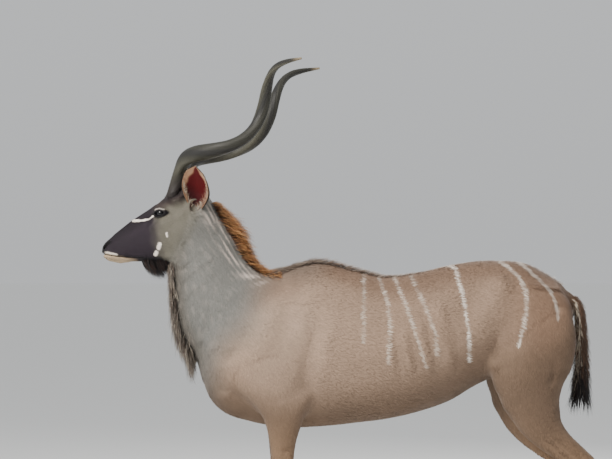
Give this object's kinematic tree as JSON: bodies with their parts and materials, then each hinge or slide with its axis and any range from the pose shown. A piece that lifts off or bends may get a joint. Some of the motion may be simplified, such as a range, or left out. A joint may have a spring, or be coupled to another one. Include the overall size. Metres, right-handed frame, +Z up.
{
  "type": "greater kudu bull",
  "caption": "Still, life-size greater kudu bull standing on four feet with its head raised, with long spiral horns, a neck mane and a throat fringe.",
  "frame": {"origin": "on the floor, under the middle of the whole animal's box", "axes": "the animal faces -X, its left side is -Y, +Z is up"},
  "size_m": [1.9098, 0.5912, 2.1643],
  "materials": {
    "body_coat": "short grey-brown coat with thin white stripes",
    "neck_coat": "short blue-grey coat with a brown mane and throat fringe",
    "face_coat": "very short dark coat with white chevron and cheek spots",
    "ear_coat": "short fur outside, thin pink-brown skin inside",
    "tail_coat": "brown hair, dark at the tip and white below",
    "leg_coat": "short tawny coat",
    "horn": "satin ridged horn with pale tips",
    "hoof": "satin black hoof horn",
    "eye": "wet glossy dark brown"
  },
  "bodies": {
    "root": {"head": "face_coat", "neck": "neck_coat", "torso": "body_coat", "tail": "tail_coat", "horn_left": "horn", "ear_left": "ear_coat", "eye_left": "eye", "horn_right": "horn", "ear_right": "ear_coat", "eye_right": "eye", "leg_front_left": "leg_coat", "hoof_front_left_outer": "hoof", "dewclaw_front_left_outer": "hoof", "hoof_front_left_inner": "hoof", "dewclaw_front_left_inner": "hoof", "leg_front_right": "leg_coat", "hoof_front_right_outer": "hoof", "dewclaw_front_right_outer": "hoof", "hoof_front_right_inner": "hoof", "dewclaw_front_right_inner": "hoof", "leg_hind_left": "leg_coat", "hoof_hind_left_outer": "hoof", "dewclaw_hind_left_outer": "hoof", "hoof_hind_left_inner": "hoof", "dewclaw_hind_left_inner": "hoof", "leg_hind_right": "leg_coat", "hoof_hind_right_outer": "hoof", "dewclaw_hind_right_outer": "hoof", "hoof_hind_right_inner": "hoof", "dewclaw_hind_right_inner": "hoof"}
  },
  "joints": []
}
